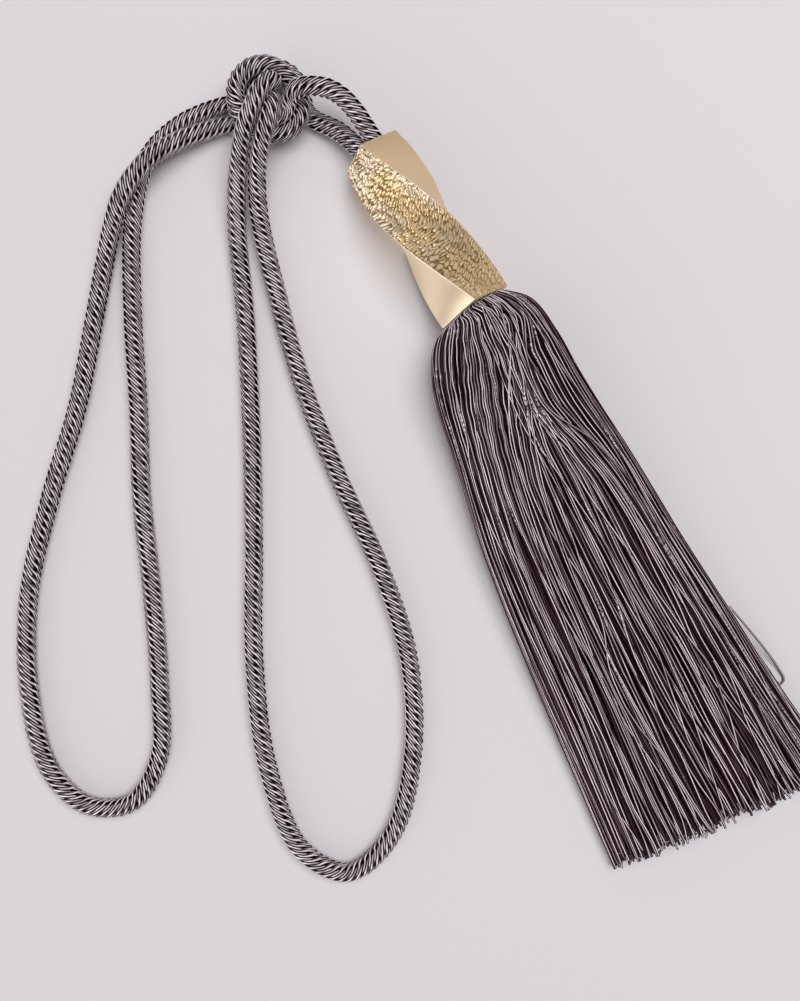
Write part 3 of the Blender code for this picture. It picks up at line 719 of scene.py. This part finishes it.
def make_threads(name, material, place, column, row, lift, radius, marks):
    """One object of threads. Place, column and marks are (thread, point), and row and lift may be one number.
    Each thread comes out of the head's mouth and turns round its rim."""
    lines, out = skirt_points(place, column, row, lift, THREAD_RADIUS)
    lines[..., 2] = np.maximum(lines[..., 2], radius[:, None])
    along, _, _ = head_axes()
    away = lines[:, :1] - HEAD_BOTTOM
    away = away - along * (away @ along)[..., None]
    reach = np.linalg.norm(away, axis=-1, keepdims=True)
    away = away / np.maximum(reach, 1e-6) * np.minimum(reach, NECK_RADIUS)
    root = HEAD_BOTTOM + away - along * NECK_INSIDE
    turn = HEAD_BOTTOM + away + along * NECK_OUTSIDE
    lines = np.concatenate([root, turn, lines], axis=1)
    out, marks = (np.concatenate([values[:, :1], values[:, :1], values], axis=1) for values in (out, marks))
    radii = np.broadcast_to(radius[:, None], lines.shape[:2])
    add_threads(name, material, *tubes(lines, radii, out, THREAD_ANGLES, marks))


def add_threads(name, material, points, faces, uv, shade):
    threads = new_object(name, points, faces, uv=uv, shade=shade)
    threads.data.materials.append(material)
    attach(threads, "root")
    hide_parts("skirt")


def cut_places(rng, column, steps):
    """Places along threads (thread, point), which end a little unevenly at the trimmed end."""
    ends = 0.989 + 0.01 * grid_noise(column * 13, 3.3, 77)
    ends = ends + rng.uniform(-0.007, 0.007, len(column))
    return np.linspace(0, 1, steps) ** CROWDING * ends[:, None]


def flow(place, home):
    """The columns through which threads run to their home, their column in the skirt's lower half: drawn
    together at the neck, and swept out over the right shoulder sooner than over the left."""
    table = np.array(FLOW_COLUMNS)
    at_row = np.interp(place, FLOW_PLACES, np.arange(len(FLOW_PLACES)))
    row = np.minimum(at_row.astype(int), len(FLOW_PLACES) - 2)
    part = smooth_step(at_row - row, 0, 1)
    at_column = np.clip((home + 1) / 2 * (table.shape[1] - 1), 0, table.shape[1] - 1 - 1e-6)
    column = at_column.astype(int)
    beside = at_column - column
    upper = table[row, column] * (1 - beside) + table[row, column + 1] * beside
    lower = table[row + 1, column] * (1 - beside) + table[row + 1, column + 1] * beside
    return upper * (1 - part) + lower * part


def sweep(place, home):
    """How far to the left of their flow the threads of the right half hang before they sweep out."""
    here = smooth_step(place, SWEEP_START, SWEEP_FULL) * (1 - smooth_step(place, SWEEP_TURN, SWEEP_END))
    return -SWEEP_COLUMNS * here * smooth_step(home, 0.2, 0.65) * (1 - smooth_step(home, 0.7, 0.95))


def waves(place, home, own, amount, seed):
    """How far threads stray to one side, as a share of the skirt's half width: in long waves that neighbours
    share, in shorter ones that they nearly share, and in each thread's own. Nothing at the edges."""
    shared = grid_noise(home * 2.2 + seed, place * 4.0, seed)
    near = 0.7 * grid_noise(home * 9, place * 7.5, seed + 1)
    lone = (0.25 + 0.5 * place) * grid_noise(own * 3.7, place * 9 + own * 2.3, seed + 2)
    kinks = 0.1 * grid_noise(own * 5.1, place * 26, seed + 3)
    frayed = FRAY * grid_noise(home * 19 + own * 0.3, place * 12, seed + 4)
    frayed = frayed * smooth_step(place, FRAY_START, 1.0)
    free = np.clip(1 - home**4, 0, 1) * np.clip(place * 9, 0, 1)
    return free * (amount * (0.6 + 0.9 * place) * (shared + near + lone + kinks) + frayed)


def thread_marks(rng, place, home, bright, crimp_share, seed, dived=0.0):
    """How bright each point of each thread's painted highlight is, with a painted sheen on the left shoulder
    and painted shade where a thread dives, and how crimped: neighbours are crimped together.
    """
    count = len(place)
    own = (bright[0] + (bright[1] - bright[0]) * rng.uniform(0, 1, count) ** 1.2)[:, None]
    number = np.arange(count)[:, None] * 7.31
    # the painted highlight brightens and fades along each thread
    along = 0.85 + 0.45 * grid_noise(number, place * 9, seed) + 0.4 * grid_noise(number, place * 45, seed + 1)
    # painted sheen over the left shoulder
    sheen = 1 + 0.7 * np.exp(-(((home + 0.6) / 0.3) ** 2) - ((place - 0.08) / 0.12) ** 2)
    patch = 0.6 * grid_noise(home * 9 + seed, place * 10, seed + 2)
    patch = patch + 0.75 * grid_noise(number, place * 14, seed + 3)
    crimp = np.clip((patch - (1 - 2 * crimp_share)) * 5, 0, 1)
    # painted shade where a thread dives under its neighbours
    return np.stack([np.clip(own * along * sheen * (1 - 0.75 * dived), 0, 1), crimp * 0.9], axis=-1)


def dive(place, column):
    """How far down each thread dives, from 0 to 1, where its neighbours run too close to it."""
    section = skirt_sections(place)
    half = np.linalg.norm(section[..., 2:4] - section[..., 0:2], axis=-1) / 2
    beside = np.pad(column, ((1, 1), (0, 0)), "reflect", reflect_type="odd")
    apart = np.abs(beside[2:] - beside[:-2]) / 2 * half
    rank = (np.arange(len(place)) * GOLDEN_STEP % 1)[:, None]
    return smooth_step(rank - apart / CLOSEST_THREADS, -0.12, 0.06)


def top_threads(rng, count, amount, swept, level, seed):
    """Threads over the skirt's upper surface: place, home, column, lift and how far each has dived."""
    middles = over_the_top(spread(count, rng, 0.25))
    apart = THREAD_PITCH / SKIRT_HALF_WIDTH
    home = np.clip(middles + rng.uniform(-0.15, 0.15, count) * apart, -0.995, 0.995)[:, None]
    own = np.arange(count)[:, None] * 1.37
    place = cut_places(rng, home[:, 0], LAYER_POINTS)
    column = flow(place, home) + swept * sweep(place, home)
    column = column + waves(place, home, own, amount, seed)
    own_lift = 0.4 * grid_noise(own * 3.1, place * 6, seed + 5)
    shared_lift = 0.45 * grid_noise(middles[:, None] * 14, place * 5, seed + 6)
    dived = dive(place, column)
    return place, home, np.clip(column, -1, 1), level + own_lift + shared_lift - DIVE_DEPTH * dived, dived


def stray_threads(rng, count):
    """Single threads that lie loosely across the others: place, home, column and lift."""
    home = rng.uniform(-0.9, 0.9, count)
    place = cut_places(rng, home, STRAY_POINTS)
    home = home[:, None]
    lean = rng.uniform(-0.2, 0.2, count)[:, None]
    lean = lean * np.sin(place * math.pi * rng.uniform(0.8, 2.2, count)[:, None])
    wave = 0.04 * grid_noise(place * 6 + home * 30, home * 50, 31)
    column = np.clip(flow(place, home) + (lean + wave) * (1 - home**2), -0.97, 0.97)
    lift = 1.2 + 0.4 * grid_noise(place * 5, home * 40, 33)
    return place, home, column, lift


def loose_threads(rng):
    """The single threads of the table, each a smooth line through its points."""
    place = np.linspace(0, 1, LOOSE_POINTS) ** CROWDING * rng.uniform(0.98, 0.995, len(LOOSE_THREADS))[:, None]
    window = np.hanning(11)
    column = []
    for row, points in zip(place, LOOSE_THREADS):
        line = np.interp(row, *zip(*points))
        column.append(np.convolve(np.pad(line, 5, "edge"), window / window.sum(), "valid"))
    return place, np.array(column)


def end_bits(rng, count):
    """The lines of short snippets that lie at all angles in the cut end."""
    column, row = rng.uniform(-0.97, 0.97, count), rng.uniform(-0.9, 1.0, count)
    place, lift = rng.uniform(0.972, 0.992, count), rng.uniform(-0.3, 0.5, count)
    start, before, end = (
        skirt_points(at, column, row, rise, THREAD_RADIUS)[0]
        for at, rise in ((place, lift), (0.96, 0), (1, 0))
    )
    ahead = normalised(end - before)
    aside = np.stack([-ahead[:, 1], ahead[:, 0], 0 * ahead[:, 2]], axis=-1)
    turn = rng.normal(0, 0.75, count)[:, None]
    bend = rng.uniform(-0.8, 0.8, count)[:, None]
    long = rng.uniform(1.8, 4.4, count)[:, None]
    lines = []
    parts = np.linspace(0, 1, BIT_POINTS)
    for part in parts:
        angle = turn + bend * part
        lines.append(start + long * part * (ahead * np.cos(angle) + aside * np.sin(angle)))
    lines = np.stack(lines, axis=1)
    lines[..., 2] = np.maximum(lines[..., 2] + rng.uniform(-0.5, 0.5, count)[:, None] * parts, 0.6)
    return lines


def inside_threads(rng):
    """The threads that show from the sides and below and at the cut end: place, home, column and row."""
    rows = [(spread(count, rng, 0.6), level) for level, count in INSIDE_ROWS]
    rows += [(np.array([-1.0, 1.0]), level) for level in FLANK_ROWS]
    home = np.concatenate([columns for columns, _ in rows])
    row = np.concatenate([np.full(len(columns), level) for columns, level in rows])[:, None]
    place = cut_places(rng, home, INSIDE_POINTS)
    home = home[:, None]
    return place, home, home + waves(place, home, home * 60, 0.03, 9) * (row > -0.95), row


def make_skirt(material):
    rng = np.random.RandomState(SEED)

    def radii(place, share=1.0):
        return THREAD_RADIUS * rng.uniform(0.85, 1.12, len(place)) * share

    for number, (count, amount, swept, level, bright, crimp) in enumerate(THREAD_LAYERS):
        seed = 500 + 40 * number
        place, home, column, lift, dived = top_threads(rng, count, amount, swept, level, seed)
        marks = thread_marks(rng, place, home, bright, crimp, seed + 20, dived)
        name = f"threads_layer_{number + 1}"
        make_threads(name, material, place, column, 1.0, lift, radii(place), marks)
    place, home, column, lift = stray_threads(rng, STRAY_THREADS)
    marks = thread_marks(rng, place, home, (0.6, 1.2), 0.2, 700)
    make_threads("stray_threads", material, place, column, 1.0, lift, radii(place, SINGLE_THREAD), marks)
    place, column = loose_threads(rng)
    marks = thread_marks(rng, place, column, (0.8, 1.1), 0.1, 740)
    make_threads("loose_threads", material, place, column, 1.0, 0.9, radii(place, SINGLE_THREAD), marks)
    place, home, column, row = inside_threads(rng)
    marks = thread_marks(rng, place, home, (0.1, 1.0), 0.1, 800)
    # inside threads covered by the layers above get painted shade
    marks[..., 0] *= np.where((row > 0) & (np.abs(column) < COVERED_EDGE), COVERED_GLINT, 1.0)
    make_threads("threads_inside", material, place, column, row, -0.2, radii(place), marks)
    # snippets in the cut end, and the loop beside the right edge
    bits = end_bits(rng, END_BITS)
    marks = np.stack([rng.uniform(0.1, 1.0, len(bits)), 0 * bits[:, 0, 0]], axis=-1)
    loop, _ = resampled(smooth_route(EDGE_LOOP), EDGE_LOOP_STEP)
    parts = []
    for lines, glints in ((bits, marks), (loop[None, :, :3], [(0.6, 0.0)])):
        upright = np.broadcast_to(np.array((0.05, 0.05, 1.0)), lines.shape)
        parts.append(tubes(lines, np.full(lines.shape[:2], BIT_RADIUS), upright, THREAD_ANGLES, glints))
    add_threads("loose_ends", material, *joined(parts))


# ---- Stage ----
def make_floor():
    ways = ((-1, -1), (1, -1), (1, 1), (-1, 1))
    corners = [(x * TABLE_HALF_SIZE, y * TABLE_HALF_SIZE, -TABLE_DROP) for x, y in ways]
    floor = new_object("table_top", corners, [[0, 1, 2, 3]], smooth=False)
    material = bpy.data.materials.new("white_table")
    Nodes(material).set(Base_Color=TABLE_COLOUR, Roughness=TABLE_ROUGHNESS)
    floor.data.materials.append(material)


def make_key_light():
    data = bpy.data.lights.new("key", "AREA")
    data.shape = "RECTANGLE"
    data.size = data.size_y = KEY_SIZE * MM
    data.energy = KEY_POWER
    data.color = KEY_COLOUR
    light = added("key", data)
    light.location = np.array(KEY_PLACE) * MM
    aim = Vector(KEY_TARGET) - Vector(KEY_PLACE)
    light.rotation_euler = aim.to_track_quat("-Z", "Y").to_euler()
    light.visible_glossy = False  # the gold mirrors only the room


def make_world():
    """A plain studio: pale overhead, darker round the horizon and brightest on the lower left."""
    world = bpy.data.worlds.new("studio")
    bpy.context.scene.world = world
    nodes = Nodes(world, "Background")
    place = nodes.add("ShaderNodeTexCoord")
    turn = nodes.add("ShaderNodeVectorMath", operation="DOT_PRODUCT")
    turn.inputs[1].default_value = WORLD_BRIGHT_WAY
    nodes.link(place, "Generated", turn, 0)
    share = nodes.add("ShaderNodeMapRange", From_Min=-1.0)
    nodes.link(turn, "Value", share, "Value")
    ramp = nodes.add("ShaderNodeValToRGB")
    elements = ramp.color_ramp.elements
    for element, (at, colour) in zip(elements, WORLD_COLOURS[:: len(WORLD_COLOURS) - 1]):
        element.position = at
        element.color = (*colour, 1.0)
    for at, colour in WORLD_COLOURS[1:-1]:
        elements.new(at).color = (*colour, 1.0)
    nodes.link(share, "Result", ramp, "Fac")
    nodes.link(ramp, "Color", nodes.shader, "Color")
    ray = nodes.add("ShaderNodeLightPath")
    strength = nodes.add("ShaderNodeMapRange", To_Min=WORLD_STRENGTH, To_Max=WORLD_STRENGTH * WORLD_FILL)
    nodes.link(ray, "Is Diffuse Ray", strength, "Value")
    nodes.link(strength, "Result", nodes.shader, "Strength")


def make_camera():
    data = bpy.data.cameras.new("camera")
    data.sensor_fit = "VERTICAL"
    data.sensor_height = SENSOR_MM
    data.lens = SENSOR_MM / 2 * CAMERA_MM[2] / VIEW_HALF_HEIGHT_MM
    data.clip_start = 0.01
    camera = added("camera", data)
    camera.location = np.array(CAMERA_MM) * MM
    bpy.context.scene.camera = camera


make_camera()
make_floor()
make_key_light()
make_world()
bpy.context.scene.view_settings.view_transform = "Standard"

# light is the colour of the painted highlight along each strand's crest; dark also paints the shade between
# strands
rope_look = thread_material("lustrous_rope", dark=(0.012, 0.003, 0.006), light=(1.0, 0.91, 0.955),
                            crest=(0.8, 0.9), speckle=1.2, metallic=0.3, roughness=0.35)
for name, route, node in (
    ("embrace", EMBRACE_ROUTE, "embrace_rope"),
    ("hanger", HANGER_ROUTE, "hanging_rope"),
):
    rope, centre, length = make_rope(name, route, rope_look)
    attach(rope, "root")
    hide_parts(node)

head = make_head(
    gold_material("satin_gold", shaded_colour=(0.66, 0.41, 0.16), colour=(1.0, 0.84, 0.58),
                  highlight_colour=(1.0, 0.9, 0.68), roughness=0.34),
    gold_material("hammered_gold", shaded_colour=(0.26, 0.15, 0.05), colour=(0.98, 0.75, 0.42),
                  highlight_colour=(1.0, 0.93, 0.78), roughness=0.15),
)
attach(head, "root")
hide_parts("head")
# light is the colour of the painted highlight along each thread's crest; dark also paints the shade between
# threads
make_skirt(thread_material("lustrous_thread", dark=(0.046, 0.018, 0.027), light=(1.0, 0.91, 0.95),
                           crest=(0.84, 0.93), speckle=0.9, metallic=0.3, roughness=0.4))
